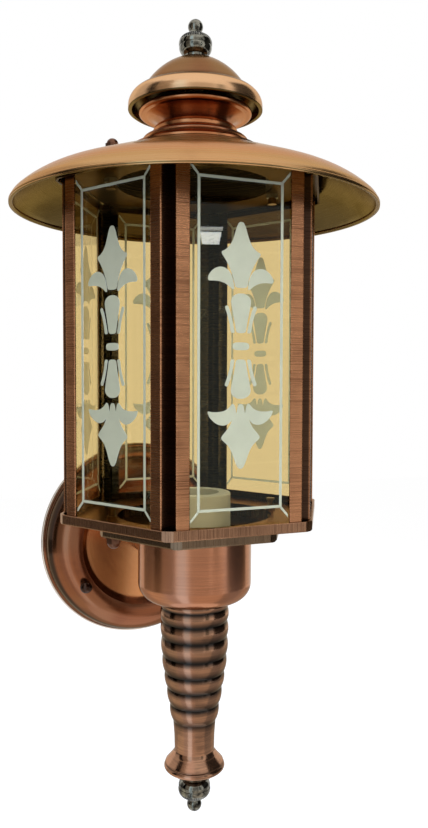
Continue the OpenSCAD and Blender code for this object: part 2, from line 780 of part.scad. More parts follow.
module swivel_bar() {
  color([0.65, 0.65, 0.62]) along_arm() rotate([0, 0, swivel_angle]) difference() {
    union() {
      translate([-ball_screw_r, -8, 2]) cube([2 * ball_screw_r, 16, 1.6]);
      for (s = [-1, 1]) translate([s * ball_screw_r, 0, 2]) cylinder(r = 8, h = 1.6);
    }
    translate([0, 0, -1]) cylinder(r = 4 + gap, h = 8);
    for (s = [-1, 1]) {
      translate([s * ball_screw_r, 0, 0]) cylinder(r = 2 + gap, h = 8);
      translate([s * 32 - 8, -2.25, 0]) cube([16, 4.5, 8]);
      for (e = [-8, 8]) translate([s * 32 + e, 0, 0]) cylinder(r = 2.25, h = 8);
    }
  }
}

// bar against the wall, with the slots for the two wall screws
module wall_bar() {
  color([0.65, 0.65, 0.62]) along_arm() difference() {
    translate([-55, -9, 0]) cube([110, 18, 2]);
    for (s = [-1, 1]) {
      translate([s * 42 - 6, -2.25, -1]) cube([12, 4.5, 5]);
      for (e = [-6, 6]) translate([s * 42 + e, 0, -1]) cylinder(r = 2.25, h = 5);
    }
  }
}

// rivet that the swivel bar turns on
module bar_rivet() {
  color([0.6, 0.58, 0.52]) along_arm() {
    translate([0, 0, 2]) cylinder(r = 4, h = 2.4);
    translate([0, 0, 3.9]) cylinder(r = 6.5, h = 1.2);
  }
}

top_finial();
crown_cap();
crown_rod();
crown_spacer();
crown_nut();
neck();
roof();
roof_screws();
roof_cap_nuts();
roof_seals();
roof_spacers();
roof_tray_nuts();
top_tray();
post_1();
post_2();
post_3();
post_4();
post_5();
post_6();
pane_1();
pane_2();
pane_3();
pane_4();
pane_5();
pane_6();
pane_prints();
base_tray();
under_tray();
base_screws();
base_washers();
base_cap_nuts();
holder_body();
holder_shell();
holder_contact();
holder_screws();
holder_spacer();
holder_nut();
centre_nipple();
cup();
tail();
tail_rod();
bottom_finial();
arm();
arm_saddle();
arm_nuts();
canopy();
ball_screws();
swivel_bar();
wall_bar();
bar_rivet();
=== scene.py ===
"""Looks of a hexagonal copper wall lantern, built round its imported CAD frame."""
import json
import math

import bmesh
import bpy
from mathutils import Matrix, Vector
from mathutils.geometry import tessellate_polygon


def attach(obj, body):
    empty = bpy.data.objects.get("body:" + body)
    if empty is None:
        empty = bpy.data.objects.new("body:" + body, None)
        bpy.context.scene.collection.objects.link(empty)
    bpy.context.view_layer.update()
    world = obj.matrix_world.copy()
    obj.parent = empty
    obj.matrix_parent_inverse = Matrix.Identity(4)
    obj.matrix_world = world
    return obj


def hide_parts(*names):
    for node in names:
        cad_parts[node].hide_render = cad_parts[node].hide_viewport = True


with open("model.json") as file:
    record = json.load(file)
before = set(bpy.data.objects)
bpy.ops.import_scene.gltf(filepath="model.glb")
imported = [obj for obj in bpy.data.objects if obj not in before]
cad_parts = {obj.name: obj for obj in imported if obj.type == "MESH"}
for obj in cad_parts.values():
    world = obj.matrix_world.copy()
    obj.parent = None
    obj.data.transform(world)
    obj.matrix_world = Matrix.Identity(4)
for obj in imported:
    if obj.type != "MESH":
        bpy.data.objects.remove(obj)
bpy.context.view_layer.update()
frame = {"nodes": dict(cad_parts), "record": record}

# places, metres, row frame
REACH = 0.136            # wall to the lantern's axis
LIP_Z = 0.0456           # base tray's lip above the origin
FLOOR_Z = -0.42
AXIS = Vector((0.0, -REACH, 0.0))
UPRIGHT = Vector((0.0, 0.0, 1.0))

# the photograph's camera
FOCAL_PX = 773.2
FRAME_H = 828            # pixels
SENSOR_H = 24.0          # mm
CAM_DISTANCE = 0.4905    # from the lantern's axis
CAM_HEIGHT = 0.0809      # above the base tray's lip
TURN = math.radians(20.26)     # its place round the lantern, from straight out of the wall
YAW = math.radians(-1.416)     # its look aside of the lantern's axis
PITCH = math.radians(2.60)     # its look down
ROLL = math.radians(0.16)


def up(mm):
    """Height in metres above the origin of a point that many mm above the base tray's lip."""
    return LIP_Z + mm / 1000


def make_camera():
    """The photograph's camera. Returns the level direction that it looks in."""
    data = bpy.data.cameras.new("photo_camera")
    data.sensor_fit = "VERTICAL"
    data.sensor_height = SENSOR_H
    data.lens = FOCAL_PX * SENSOR_H / FRAME_H
    data.clip_start = 0.01
    cam = bpy.data.objects.new("photo_camera", data)
    bpy.context.collection.objects.link(cam)
    heading = TURN - YAW
    level = Vector((math.sin(heading), math.cos(heading), 0.0))
    right = Vector((math.cos(heading), -math.sin(heading), 0.0))
    forward = level * math.cos(PITCH) - UPRIGHT * math.sin(PITCH)
    top = right.cross(forward)
    rolled_right = right * math.cos(ROLL) + top * math.sin(ROLL)
    rolled_top = top * math.cos(ROLL) - right * math.sin(ROLL)
    away = Vector((-math.sin(TURN), -math.cos(TURN), 0.0))
    m = Matrix((rolled_right, rolled_top, -forward)).transposed().to_4x4()
    m.translation = AXIS + away * CAM_DISTANCE + UPRIGHT * (LIP_Z + CAM_HEIGHT)
    cam.matrix_world = m
    bpy.context.scene.camera = cam
    return level


cam_forward = make_camera()


# small node helpers
def lin(r, g, b):
    """A screen colour, 0 to 255, as linear RGBA."""
    def one(c):
        c /= 255.0
        return c / 12.92 if c <= 0.04045 else ((c + 0.055) / 1.055) ** 2.4
    return (one(r), one(g), one(b), 1.0)


materials = {}           # by plain name, as Blender adds a number where the frame has one of that name


class Nodes:
    """Short names for building one material's node tree."""

    def __init__(self, name):
        self.mat = bpy.data.materials.new(name)
        materials[name] = self.mat
        self.mat.use_nodes = True
        self.tree = self.mat.node_tree
        self.tree.nodes.clear()
        self.out = self.tree.nodes.new("ShaderNodeOutputMaterial")
        self.bsdf = self.tree.nodes.new("ShaderNodeBsdfPrincipled")
        self.surface(self.bsdf.outputs[0])

    def link(self, a, b):
        self.tree.links.new(a, b)

    def _put(self, socket, value):
        if isinstance(value, bpy.types.NodeSocket):
            self.link(value, socket)
        else:
            socket.default_value = value

    def math(self, op, a, b=0.0, clamp=False):
        n = self.tree.nodes.new("ShaderNodeMath")
        n.operation = op
        n.use_clamp = clamp
        self._put(n.inputs[0], a)
        self._put(n.inputs[1], b)
        return n.outputs[0]

    def times(self, a, b):
        return self.math("MULTIPLY", a, b)

    def plus(self, a, b):
        return self.math("ADD", a, b)

    def most(self, a, b):
        return self.math("MAXIMUM", a, b)

    def ramp01(self, x, lo, hi, a=0.0, b=1.0, smooth=True):
        """a up to lo, b from hi on, and a ramp between them."""
        n = self.tree.nodes.new("ShaderNodeMapRange")
        n.interpolation_type = "SMOOTHSTEP" if smooth else "LINEAR"
        self._put(n.inputs["Value"], x)
        for k, v in (("From Min", lo), ("From Max", hi), ("To Min", a), ("To Max", b)):
            n.inputs[k].default_value = v
        return n.outputs[0]

    def combine(self, x, y, z):
        n = self.tree.nodes.new("ShaderNodeCombineXYZ")
        for s, v in zip(n.inputs, (x, y, z)):
            self._put(s, v)
        return n.outputs[0]

    def split(self, vector):
        n = self.tree.nodes.new("ShaderNodeSeparateXYZ")
        self.link(vector, n.inputs[0])
        return n.outputs[0], n.outputs[1], n.outputs[2]

    def place(self, origin=(0, 0, 0)):
        """x, y and z of the shaded point, from that origin, in metres."""
        point = self.tree.nodes.new("ShaderNodeTexCoord").outputs["Object"]
        sub = self.tree.nodes.new("ShaderNodeVectorMath")
        sub.operation = "SUBTRACT"
        self.link(point, sub.inputs[0])
        sub.inputs[1].default_value = origin
        return self.split(sub.outputs[0])

    def outward(self):
        """How far the surface faces away from the lantern's axis, times its distance from it."""
        nx, ny, _ = self.facing()
        x, y, _ = self.place(AXIS)
        return self.plus(self.times(nx, x), self.times(ny, y))

    def facing(self):
        """x, y and z of the surface's own direction."""
        return self.split(self.tree.nodes.new("ShaderNodeTexCoord").outputs["Normal"])

    def noise(self, vector, scale=1.0, detail=3.0, rough=0.5, distortion=0.0):
        n = self.tree.nodes.new("ShaderNodeTexNoise")
        self.link(vector, n.inputs["Vector"])
        n.inputs["Scale"].default_value = scale
        n.inputs["Detail"].default_value = detail
        n.inputs["Roughness"].default_value = rough
        n.inputs["Distortion"].default_value = distortion
        return n.outputs["Fac"]

    def clouds(self, scale, distortion=0.0, rough=0.6, detail=4.0):
        """Soft blotches, that many to the metre."""
        return self.noise(self.combine(*self.place()), scale, detail, rough, distortion)

    def mix(self, fac, a, b):
        n = self.tree.nodes.new("ShaderNodeMix")
        n.data_type = "RGBA"
        n.clamp_factor = True
        self._put(n.inputs[0], fac)
        self._put(n.inputs[6], a)
        self._put(n.inputs[7], b)
        return n.outputs[2]

    def bump(self, height, distance, strength=1.0):
        n = self.tree.nodes.new("ShaderNodeBump")
        n.inputs["Strength"].default_value = strength
        n.inputs["Distance"].default_value = distance
        self.link(height, n.inputs["Height"])
        self.link(n.outputs[0], self.bsdf.inputs["Normal"])

    def lacquer(self, weight, rough, edge=(0.70, 0.57, 0.43, 1.0)):
        """Clear coat, and the colour that the metal keeps where it is seen edge on."""
        self._put(self.bsdf.inputs["Coat Weight"], weight)
        self.bsdf.inputs["Coat Roughness"].default_value = rough
        self.bsdf.inputs["Specular Tint"].default_value = edge

    def set(self, **values):
        """Inputs of the principled shader, by name."""
        for key, v in values.items():
            self._put(self.bsdf.inputs[key.replace("_", " ")], v)

    def metal(self, tone, grain, spread, rough):
        """A bare metal, whose roughness follows the grain."""
        self.set(Base_Color=tone, Metallic=1.0, Roughness=self.plus(self.times(grain, spread), rough))

    def coloured(self, kind, colour):
        """A plain shader of that kind in a colour."""
        n = self.tree.nodes.new(kind)
        self._put(n.inputs[0], colour)
        return n.outputs[0]

    def glow(self, colour, level):
        """Light of its own, at a level where the white background is 1."""
        n = self.tree.nodes.new("ShaderNodeEmission")
        n.inputs[0].default_value = (*colour, 1.0)
        n.inputs[1].default_value = level
        return n.outputs[0]

    def surface(self, shader):
        """What the material shows in the end."""
        self.link(shader, self.out.inputs["Surface"])

    def blend_in(self, share, shader):
        """Blend that share of another shader into the principled one."""
        n = self.tree.nodes.new("ShaderNodeMixShader")
        self._put(n.inputs[0], share)
        self.link(self.bsdf.outputs[0], n.inputs[1])
        self.link(shader, n.inputs[2])
        self.surface(n.outputs[0])


# metals, where a mask is a function that says how much of a tone lies where
# painted shade: the near black of creases, the posts' fold, faces that look down and the top tray
SHADE_BLACK = lin(34, 26, 21)
# painted shade in the finials' knurl valleys
KNURL_SHADE = lin(16, 16, 14)
KNURLS = 40
PATINA_SCALE = 28.0      # clouds to the metre on spun metal
RING_DRIFT = 0.8         # how much a brushed ring changes on its way round
SHEET_CLOUDS = 45.0      # clouds to the metre on folded sheet
SHEET_DRAW = 22.0        # brushed lines change this often to the metre along their run


def ring_coords(n, origin, axis="z"):
    """Radius, height, and the cosine and sine of the angle round an axis, which have no seam."""
    x, y, z = n.place(origin)
    a, b, h = (x, y, z) if axis == "z" else (x, z, y)
    r = n.math("SQRT", n.plus(n.times(a, a), n.times(b, b)))
    safe = n.most(r, 0.0005)
    return r, h, n.math("DIVIDE", a, safe), n.math("DIVIDE", b, safe)


def brushed_ring(name, colour, dark, rough=0.26, axis="z", origin=AXIS, shade_mask=None, shade_tone=None,
                 lines=2600.0, worn=0.35, tint=None, pale=None, under=None, sheen=None, coat=0.12):
    """Spun metal: fine rings, soft clouds of darker patina, and painted shade in its own darker tone where
    the shade mask says.

    tint and pale are each a mask with its tone, sheen comes and goes slowly round the axis, and
    under is the painted shade tone of faces that look down.
    """
    n = Nodes(name)
    r, h, cos_a, sin_a = ring_coords(n, origin, axis)
    fine = n.noise(n.combine(n.plus(n.times(r, lines), n.times(cos_a, RING_DRIFT)),
                             n.times(h, lines), n.times(sin_a, RING_DRIFT)), 1.0, 2.0, 0.6)
    x, y, z = n.place(origin)
    cloud = n.noise(n.combine(x, y, n.times(z, 2.0)), PATINA_SCALE, 4.0, 0.55, 0.4)
    patina = n.ramp01(cloud, 0.42, 0.72, 0.0, worn)
    streak = n.ramp01(fine, 0.30, 0.72, 0.0, 0.30)
    tone = n.mix(n.math("ADD", patina, streak, clamp=True), colour, dark)
    if sheen is not None:
        slow = n.noise(n.combine(n.times(cos_a, 1.3), n.times(sin_a, 1.3), n.times(h, 3.0)), 1.0, 1.0, 0.4)
        tone = n.mix(n.ramp01(slow, 0.40, 0.62, 0.0, 0.75), tone, sheen)
    for extra in (tint, pale):
        if extra is not None:
            mask, mask_tone = extra
            tone = n.mix(mask(n, r, h), tone, mask_tone)
    # painted shade in creases, grooves and hollows, where the shade mask says
    if shade_mask is not None:
        tone = n.mix(shade_mask(n, r, h), tone, shade_tone)
    # painted shade on faces that look down, blotched towards near black, with less coat
    if under is not None:
        below = n.ramp01(n.facing()[2], -0.25, -0.05, 1.0, 0.0)
        tone = n.mix(below, tone, n.mix(patina, under, SHADE_BLACK))
        coat = n.times(n.math("SUBTRACT", 1.0, below), coat)
    n.metal(tone, fine, 0.12, rough - 0.04)
    n.lacquer(coat, 0.12)
    n.bump(fine, 0.00002, 0.25)


def hex_reach(n, x, y):
    """Distance from the lantern's axis to the flat of the hexagon that the point lies on."""
    c, s = math.cos(math.radians(30)), math.sin(math.radians(30))
    front = n.math("ABSOLUTE", y)
    left = n.math("ABSOLUTE", n.plus(n.times(x, c), n.times(y, s)))
    right = n.math("ABSOLUTE", n.math("SUBTRACT", n.times(y, s), n.times(x, c)))
    return n.most(front, n.most(left, right))


def brushed_sheet(name, colour, dark, along, rough=0.24, groove=None, inside=None, lines=2200.0,
                  line_depth=0.45, coat=0.10):
    """Folded sheet brushed in straight lines: along "z" they stand upright, "level" they lie level."""
    n = Nodes(name)
    x, y, z = n.place(AXIS)
    flat, upright = (SHEET_DRAW, lines) if along == "level" else (lines, SHEET_DRAW)
    fine = n.noise(n.combine(n.times(x, flat), n.times(y, flat), n.times(z, upright)), 1.0, 2.0, 0.65)
    cloud = n.noise(n.combine(x, y, z), SHEET_CLOUDS, 4.0, 0.6, 0.3)
    amount = n.math("ADD", n.ramp01(cloud, 0.40, 0.75, 0.0, 0.30),
                    n.ramp01(fine, 0.40, 0.68, 0.0, line_depth), clamp=True)
    tone = n.mix(amount, colour, dark)
    # painted shade, near black, in the post's fold
    if groove is not None:
        tone = n.mix(groove(n, hex_reach(n, x, y)), tone, SHADE_BLACK)
    # painted shade on faces that look in towards the lantern's axis
    if inside is not None:
        tone = n.mix(n.ramp01(n.outward(), -0.030, -0.010, 1.0, 0.0), tone, inside)
    n.metal(tone, fine, 0.14, rough - 0.04)
    n.lacquer(coat, 0.15)
    n.bump(fine, 0.00002, 0.3)


def plain_metal(name, colour, dark, rough=0.24, scale=160.0, worn=0.6, knurl=None):
    """Small turned or cast metal with mottled tone, and painted shade in the knurl valleys where knurl
    gives a mask.
    """
    n = Nodes(name)
    cloud = n.clouds(scale, 0.2)
    tone = n.mix(n.ramp01(cloud, 0.35, 0.70, 0.0, worn), colour, dark)
    height = cloud
    if knurl is not None:
        x, y, z = n.place(AXIS)
        wave = n.math("SINE", n.times(n.math("ARCTAN2", y, x), KNURLS))
        valley = n.times(n.ramp01(wave, -0.7, 0.5, 1.0, 0.0), knurl(n, z))
        # painted shade: the knurl valleys are darkened, and the bump sinks them
        tone = n.mix(valley, tone, KNURL_SHADE)
        height = n.math("SUBTRACT", cloud, n.times(valley, 6.0))
    n.metal(tone, cloud, 0.16, rough - 0.06)
    n.bump(height, 0.00003, 0.25 if knurl is None else 0.8)


# masks: heights in mm above the lip, radii in metres from the lantern's or the canopy's axis
KNURL_BANDS = ((289.9, 294.2), (-189.9, -185.6))
KNURL_SOFT = 0.6
TAIL_TOP, TAIL_END = -59.5, -175.4
TAIL_GROOVES = (-64.3, -73.2, -83.4, -95.3, -106.2, -116.3, -127.3)
TAIL_ROUNDS = (-67.5, -77.0, -88.0, -99.5, -110.5, -121.0, -132.0)
# the tail's painted shade at other heights, from 0 to 1
TAIL_OTHERS = [(TAIL_TOP, 0.75), (-62.0, 0.25), (-138.2, 0.9), (-143.0, 0.15), (-156.0, 0.1),
               (-164.6, 0.0), (-166.3, 0.7), (-167.4, 0.0), (-171.5, 0.1), (TAIL_END, 0.8)]
ROUND_SHADE = 0.2         # painted shade on the tail's rounds, where its grooves have 1


def finial_knurl(n, z):
    """1 on the knurled bands of the two finials."""
    bands = []
    for low, high in KNURL_BANDS:
        start = n.ramp01(z, up(low), up(low + KNURL_SOFT))
        stop = n.ramp01(z, up(high - KNURL_SOFT), up(high), 1.0, 0.0)
        bands.append(n.times(start, stop))
    return n.most(*bands)


def tail_groove_shade(n, r, h):
    """Painted shade: dark in the grooves of the tail, clearer on its rounds."""
    ramp = n.tree.nodes.new("ShaderNodeValToRGB")
    ramp.color_ramp.interpolation = "EASE"
    n.link(n.ramp01(h, up(TAIL_END), up(TAIL_TOP), 0.0, 1.0, smooth=False), ramp.inputs[0])
    marks = TAIL_OTHERS + [(z, 1.0) for z in TAIL_GROOVES] + [(z, ROUND_SHADE) for z in TAIL_ROUNDS]
    stops = ramp.color_ramp.elements
    while len(stops) < len(marks):
        stops.new(0.5)
    for stop, (z, dark) in zip(stops, sorted(marks)):
        stop.position = (z - TAIL_END) / (TAIL_TOP - TAIL_END)
        stop.color = (dark, dark, dark, 1)
    return ramp.outputs[0]


def neck_hollow_shade(n, r, h):
    """Painted shade: a dark throat under the flange, and a dark line over the foot."""
    throat = n.times(n.ramp01(r, 0.0200, 0.0300, 0.92, 0.15), n.ramp01(h, up(236.2), up(236.8)))
    foot = n.times(n.ramp01(h, up(227.5), up(228.5)), n.ramp01(h, up(229.0), up(230.2), 0.7, 0.0))
    return n.most(throat, foot)


def cap_crease_shade(n, r, h):
    """Painted shade: dark in the crease between the cap's dome and its brim, and a little at the brim's
    edge.
    """
    crease = n.times(n.ramp01(h, up(255.4), up(256.6)), n.ramp01(h, up(256.6), up(262.5), 0.9, 0.0))
    edge = n.ramp01(h, up(248.2), up(250.0), 0.15, 0.0)
    return n.most(crease, edge)


def brim(n, r, h):
    """Painted highlight: the crown cap's brim, lighter than its dome."""
    return n.ramp01(h, up(255.5), up(257.5), 1.0, 0.0)


def roof_rim_reflection(n, r, h):
    """Painted reflection: redder copper where the roof turns down."""
    return n.times(n.ramp01(r, 0.0880, 0.0980, 0.0, 0.85), n.ramp01(r, 0.1040, 0.1100, 1.0, 0.35))


def canopy_ring_shade(n, r, h):
    """Painted shade: dark in the corner round the canopy's recessed floor and on its flange's step."""
    corner = n.times(n.ramp01(r, 0.0440, 0.0452, 0.0, 0.35), n.ramp01(r, 0.0458, 0.0466, 1.0, 0.0))
    step = n.times(n.ramp01(r, 0.0682, 0.0704, 0.0, 0.92), n.ramp01(r, 0.0722, 0.0732, 1.0, 0.0))
    return n.most(corner, step)


def canopy_edge_highlight(n, r, h):
    """Painted highlight: a bright edge of the canopy at the wall."""
    return n.ramp01(r, 0.0736, 0.0744)


def canopy_floor(n, r, h):
    """A lighter orange on the recessed floor."""
    return n.ramp01(r, 0.0420, 0.0470, 0.9, 0.0)


def post_groove_shade(n, reach):
    """Painted shade, near black, where the post's sheet folds in from the outer faces."""
    return n.ramp01(reach, 0.0724, 0.0735, 0.90, 0.0)


# materials by slot
def spun_metals():
    """The spun sheet and the turned tail. The canopy's rings run round its own axis, out of the wall."""
    # roof: a painted reflection, redder, at its rim, and painted shade on faces that look down
    brushed_ring("roof_copper", lin(208, 162, 106), lin(158, 112, 70), rough=0.24,
                 tint=(roof_rim_reflection, lin(210, 148, 108)), under=lin(114, 96, 60), sheen=lin(196, 162, 108))
    # cap: painted shade in the crease and on faces that look down, and a painted highlight on the brim
    brushed_ring("cap_copper", lin(144, 96, 62), lin(98, 60, 38), rough=0.22, coat=0.2,
                 shade_mask=cap_crease_shade, shade_tone=lin(66, 34, 20), tint=(brim, lin(228, 180, 134)),
                 under=lin(124, 104, 68), sheen=lin(144, 108, 72))
    # neck: painted shade in the throat and over the foot
    brushed_ring("neck_copper", lin(208, 138, 90), lin(148, 88, 54), rough=0.22,
                 shade_mask=neck_hollow_shade, shade_tone=lin(150, 104, 82), sheen=lin(200, 136, 92))
    brushed_ring("cup_copper", lin(190, 128, 92), lin(122, 70, 46), rough=0.20, coat=0.35, worn=0.2,
                 sheen=lin(178, 130, 108))
    # tail: painted shade in its grooves
    brushed_ring("tail_bronze", lin(188, 140, 108), lin(56, 36, 27), rough=0.16, coat=0.35, worn=0.5,
                 shade_mask=tail_groove_shade, shade_tone=lin(20, 16, 13), lines=1000.0, sheen=lin(186, 134, 106))
    # canopy: painted shade in its corner and on its step, and a painted highlight at its edge
    brushed_ring("canopy_copper", lin(148, 90, 58), lin(92, 50, 34), rough=0.20, coat=0.3, axis="y",
                 origin=(0, 0, 0), shade_mask=canopy_ring_shade, shade_tone=lin(36, 26, 22),
                 tint=(canopy_floor, lin(232, 164, 108)), pale=(canopy_edge_highlight, lin(226, 212, 198)),
                 sheen=lin(150, 102, 72))


def sheet_metals():
    """The folded sheets. The top tray's near-black copper is painted shade under the roof, and the under
    tray has a darker, duller copy of its slot's copper, tray_copper, as painted shade.
    """
    # the top tray under the roof: near-black copper, as painted shade
    brushed_sheet("top_tray_copper", lin(62, 50, 36), SHADE_BLACK, "z", rough=0.34)
    # posts: painted shade, near black, in the fold and on the inward faces
    brushed_sheet("post_copper", lin(206, 144, 102), lin(94, 54, 38), "level", groove=post_groove_shade,
                  inside=lin(44, 42, 32))
    # tray: painted shade on its inward faces
    brushed_sheet("tray_copper", lin(172, 128, 98), lin(88, 60, 46), "z", lines=3400.0,
                  line_depth=0.75, inside=lin(64, 50, 34))
    # the under tray: a darker copy of tray_copper, as painted shade
    brushed_sheet("under_tray_shade", lin(130, 106, 84), lin(74, 60, 47), "z", lines=3400.0,
                  line_depth=0.6)


def small_metals():
    """Finials, fastenings, wall bars, the arm and the lampholder's metal."""
    plain_metal("finial_metal", lin(150, 147, 134), lin(20, 19, 16), rough=0.09, scale=240.0,
                worn=0.97, knurl=finial_knurl)
    plain_metal("nut_bronze", lin(120, 84, 66), lin(48, 32, 26), rough=0.3)
    plain_metal("screw_brass", lin(160, 130, 82), lin(90, 70, 42), rough=0.3)
    plain_metal("shell_brass", lin(180, 150, 96), lin(120, 96, 58), rough=0.25)
    plain_metal("zinc_steel", lin(170, 170, 164), lin(124, 124, 120), rough=0.36, scale=260.0)
    plain_metal("arm_copper", lin(150, 96, 62), lin(84, 50, 34), rough=0.26)
    plain_metal("ball_bronze", lin(74, 54, 46), lin(24, 18, 16), rough=0.16)


def honey_glass():
    """Clear glass with a pale honey tint, which lets the lamps shine on what is inside."""
    n = Nodes("pane_glass")
    n.set(Base_Color=(0.87, 0.755, 0.50, 1), Roughness=0.0, IOR=1.45, Transmission_Weight=1.0,
          Specular_IOR_Level=0.25)
    lamp_ray = n.tree.nodes.new("ShaderNodeLightPath").outputs["Is Shadow Ray"]
    n.blend_in(lamp_ray, n.coloured("ShaderNodeBsdfTransparent", (0.90, 0.83, 0.68, 1)))


def white_enamel():
    """Printed enamel, cooler on its side towards the glass, that lets some light through."""
    n = Nodes("print_enamel")
    tone = n.mix(n.ramp01(n.clouds(90.0), 0.3, 0.7), lin(202, 207, 190), lin(197, 202, 185))
    tone = n.mix(n.ramp01(n.outward(), -0.01, 0.01, 1.0, 0.0), tone, lin(236, 246, 255))
    n.set(Base_Color=tone, Roughness=0.55)
    n.blend_in(0.55, n.coloured("ShaderNodeBsdfTranslucent", tone))


def white_ceramic():
    """The lampholder's glazed body."""
    n = Nodes("holder_ceramic")
    tone = n.mix(n.ramp01(n.clouds(60.0), 0.3, 0.7), lin(224, 238, 250), lin(210, 224, 238))
    n.set(Base_Color=tone, Roughness=0.35)


def black_rubber():
    """The seals under the roof's cap nuts."""
    n = Nodes("seal_rubber")
    cloud = n.clouds(400.0, detail=3.0)
    n.set(Base_Color=n.mix(cloud, lin(36, 34, 32), lin(52, 50, 47)), Roughness=0.7)


def dress_nodes():
    """Each CAD node gets its slot's material, but for the under tray."""
    slot_of = {s["node"]: s["material_slot"] for s in frame["record"]["subparts"]}
    for node_name, obj in frame["nodes"].items():
        mat = materials["under_tray_shade" if node_name == "under_tray" else slot_of[node_name]]
        if not obj.material_slots:
            obj.data.materials.append(mat)
        for s in obj.material_slots:
            s.material = mat


spun_metals()
sheet_metals()
small_metals()
honey_glass()
white_enamel()
white_ceramic()
black_rubber()
dress_nodes()


# the prints: the CAD node's patches with softened corners and a finer border, just clear of the glass
PANES = 6
OUT_PANE = 2             # number of the pane that faces straight out from the wall
GLASS_FACE = 0.07215     # metres, axis to the outer face of a pane
PRINT_GAP = 0.00004
PRINT_T = 0.00022
PRINT_MID = 98.7         # middle of the ornament, mm above the lip
BORDER_HALF = 24.6       # mm, middle of the border's upright lines
BORDER_LOW, BORDER_HIGH = 9.4, 188.7    # middle of its level lines, mm above the lip
BORDER_W = 1.5           # mm, width of its lines
STROKE_START = 1.6, 0.2  # the corner strokes' first two corners, in half widths past the border
STROKE_END = 29.4        # mm across, where the strokes end
STROKE_RISE = 4.7, 6.6   # mm past the border, their last two corners
CORNER_CUT = 0.2         # share of a side that softening takes from each end

# right halves of the ornament, mm across and mm from its middle
DROP = [(2.7, 7.2), (3.3, 11), (4.1, 15), (4.9, 18.8), (5.7, 22.6), (5.9, 24.4), (5.5, 25.9), (4.6, 27.1),
        (3.2, 28.0), (1.6, 28.6)]
BAR = [(3.8, 7.2), (6.0, 7.2), (6.7, 12.5), (8.1, 17.2), (9.7, 21.2), (7.9, 22.2), (6.4, 18.6), (5.2, 14),
       (4.3, 10)]
SPEAR = [(0.9, 67.1), (1.8, 66.2), (2.9, 63.7), (3.9, 60.3), (5.2, 56.7), (7.0, 53.7), (9.6, 51.6),
         (11.4, 50.9), (11.5, 49.6), (9.4, 46.9), (7.0, 42.9), (5.2, 38.6), (4.0, 34.6), (3.4, 31.7)]
LEAF = [(19.4, 35.5), (19.2, 37.4), (17.6, 39.8), (15.4, 41.6), (12.6, 42.6), (9.8, 42.3), (7.4, 40.8),
        (5.6, 38.2), (4.6, 34.8), (4.0, 31.0), (5.0, 30.6), (7.0, 32.4), (9.6, 33.9), (12.6, 34.8),
        (15.8, 35.0), (18.6, 34.8)]
LOWER = [(1.0, 31.6), (1.8, 33.2), (2.3, 35.6), (2.6, 37.0), (2.9, 35.4), (3.4, 32.6), (4.6, 31.2),
         (5.8, 32.2), (7.4, 34.0), (9.8, 35.3), (12.8, 35.8), (16.4, 35.8), (19.4, 35.2), (19.3, 36.6),
         (18.2, 38.9), (15.8, 41.2), (13.0, 42.8), (10.0, 43.3), (7.4, 42.4), (5.6, 40.8), (4.9, 39.8),
         (5.6, 41.8), (7.2, 44.6), (9.6, 47.2), (11.4, 49.4), (11.4, 50.6), (9.6, 52.2), (7.0, 54.6),
         (5.2, 57.8), (3.9, 61.2), (2.7, 64.4), (1.5, 66.5), (0.6, 67.1)]
BAND = [(-4.9, -2.1), (4.9, -2.1), (4.9, 2.1), (-4.9, 2.1)]


def flipped(points):
    """The same points on the other side of the middle."""
    return [(-x, y) for x, y in points]


def mirrored(half):
    """A closed outline from its right half."""
    return half + flipped(reversed(half))


def soften(points, rounds=2):
    """Cut the corners of a closed outline, twice by default."""
    for _ in range(rounds):
        cut = []
        for (ax, ay), (bx, by) in zip(points, points[1:] + points[:1]):
            for share in (CORNER_CUT, 1 - CORNER_CUT):
                cut.append((ax + (bx - ax) * share, ay + (by - ay) * share))
        points = cut
    return points


def ornament():
    """The ornament's patches, mm across and mm above the lip."""
    stem = [soften(mirrored(DROP)), soften(BAR, 1), soften(flipped(BAR), 1)]
    above = [soften(mirrored(SPEAR)), soften(LEAF), soften(flipped(LEAF)), soften(BAND, 3)] + stem
    below = [soften(mirrored(LOWER))] + stem
    return ([[(x, PRINT_MID + y) for x, y in outline] for outline in above]
            + [[(x, PRINT_MID - y) for x, y in outline] for outline in below])


def border():
    """The border's mitred lines and the strokes that run from its corners to the pane's."""
    w, b = BORDER_W / 2, BORDER_HALF
    patches = []
    for edge, out in ((BORDER_HIGH, 1), (BORDER_LOW, -1)):
        patches.append([(-b + w, edge - out * w), (b - w, edge - out * w),
                        (b + w, edge + out * w), (-b - w, edge + out * w)])
        for side in (-1, 1):
            patches.append([(side * b, edge + out * w * STROKE_START[0]),
                            (side * (b + w), edge + out * w * STROKE_START[1]),
                            (side * STROKE_END, edge + out * STROKE_RISE[0]),
                            (side * STROKE_END, edge + out * STROKE_RISE[1])])
    for side in (-1, 1):
        patches.append([(side * (b - w), BORDER_LOW + w), (side * (b + w), BORDER_LOW - w),
                        (side * (b + w), BORDER_HIGH + w), (side * (b - w), BORDER_HIGH - w)])
    return patches


def on_pane(pane, x, reach, y):
    """Point before a pane: x mm across, reach metres from the axis, y mm above the lip."""
    a = math.radians(360 / PANES * (pane - OUT_PANE))
    across = x / 1000
    return (across * math.cos(a) + reach * math.sin(a),
            across * math.sin(a) - reach * math.cos(a) - REACH,
            up(y))


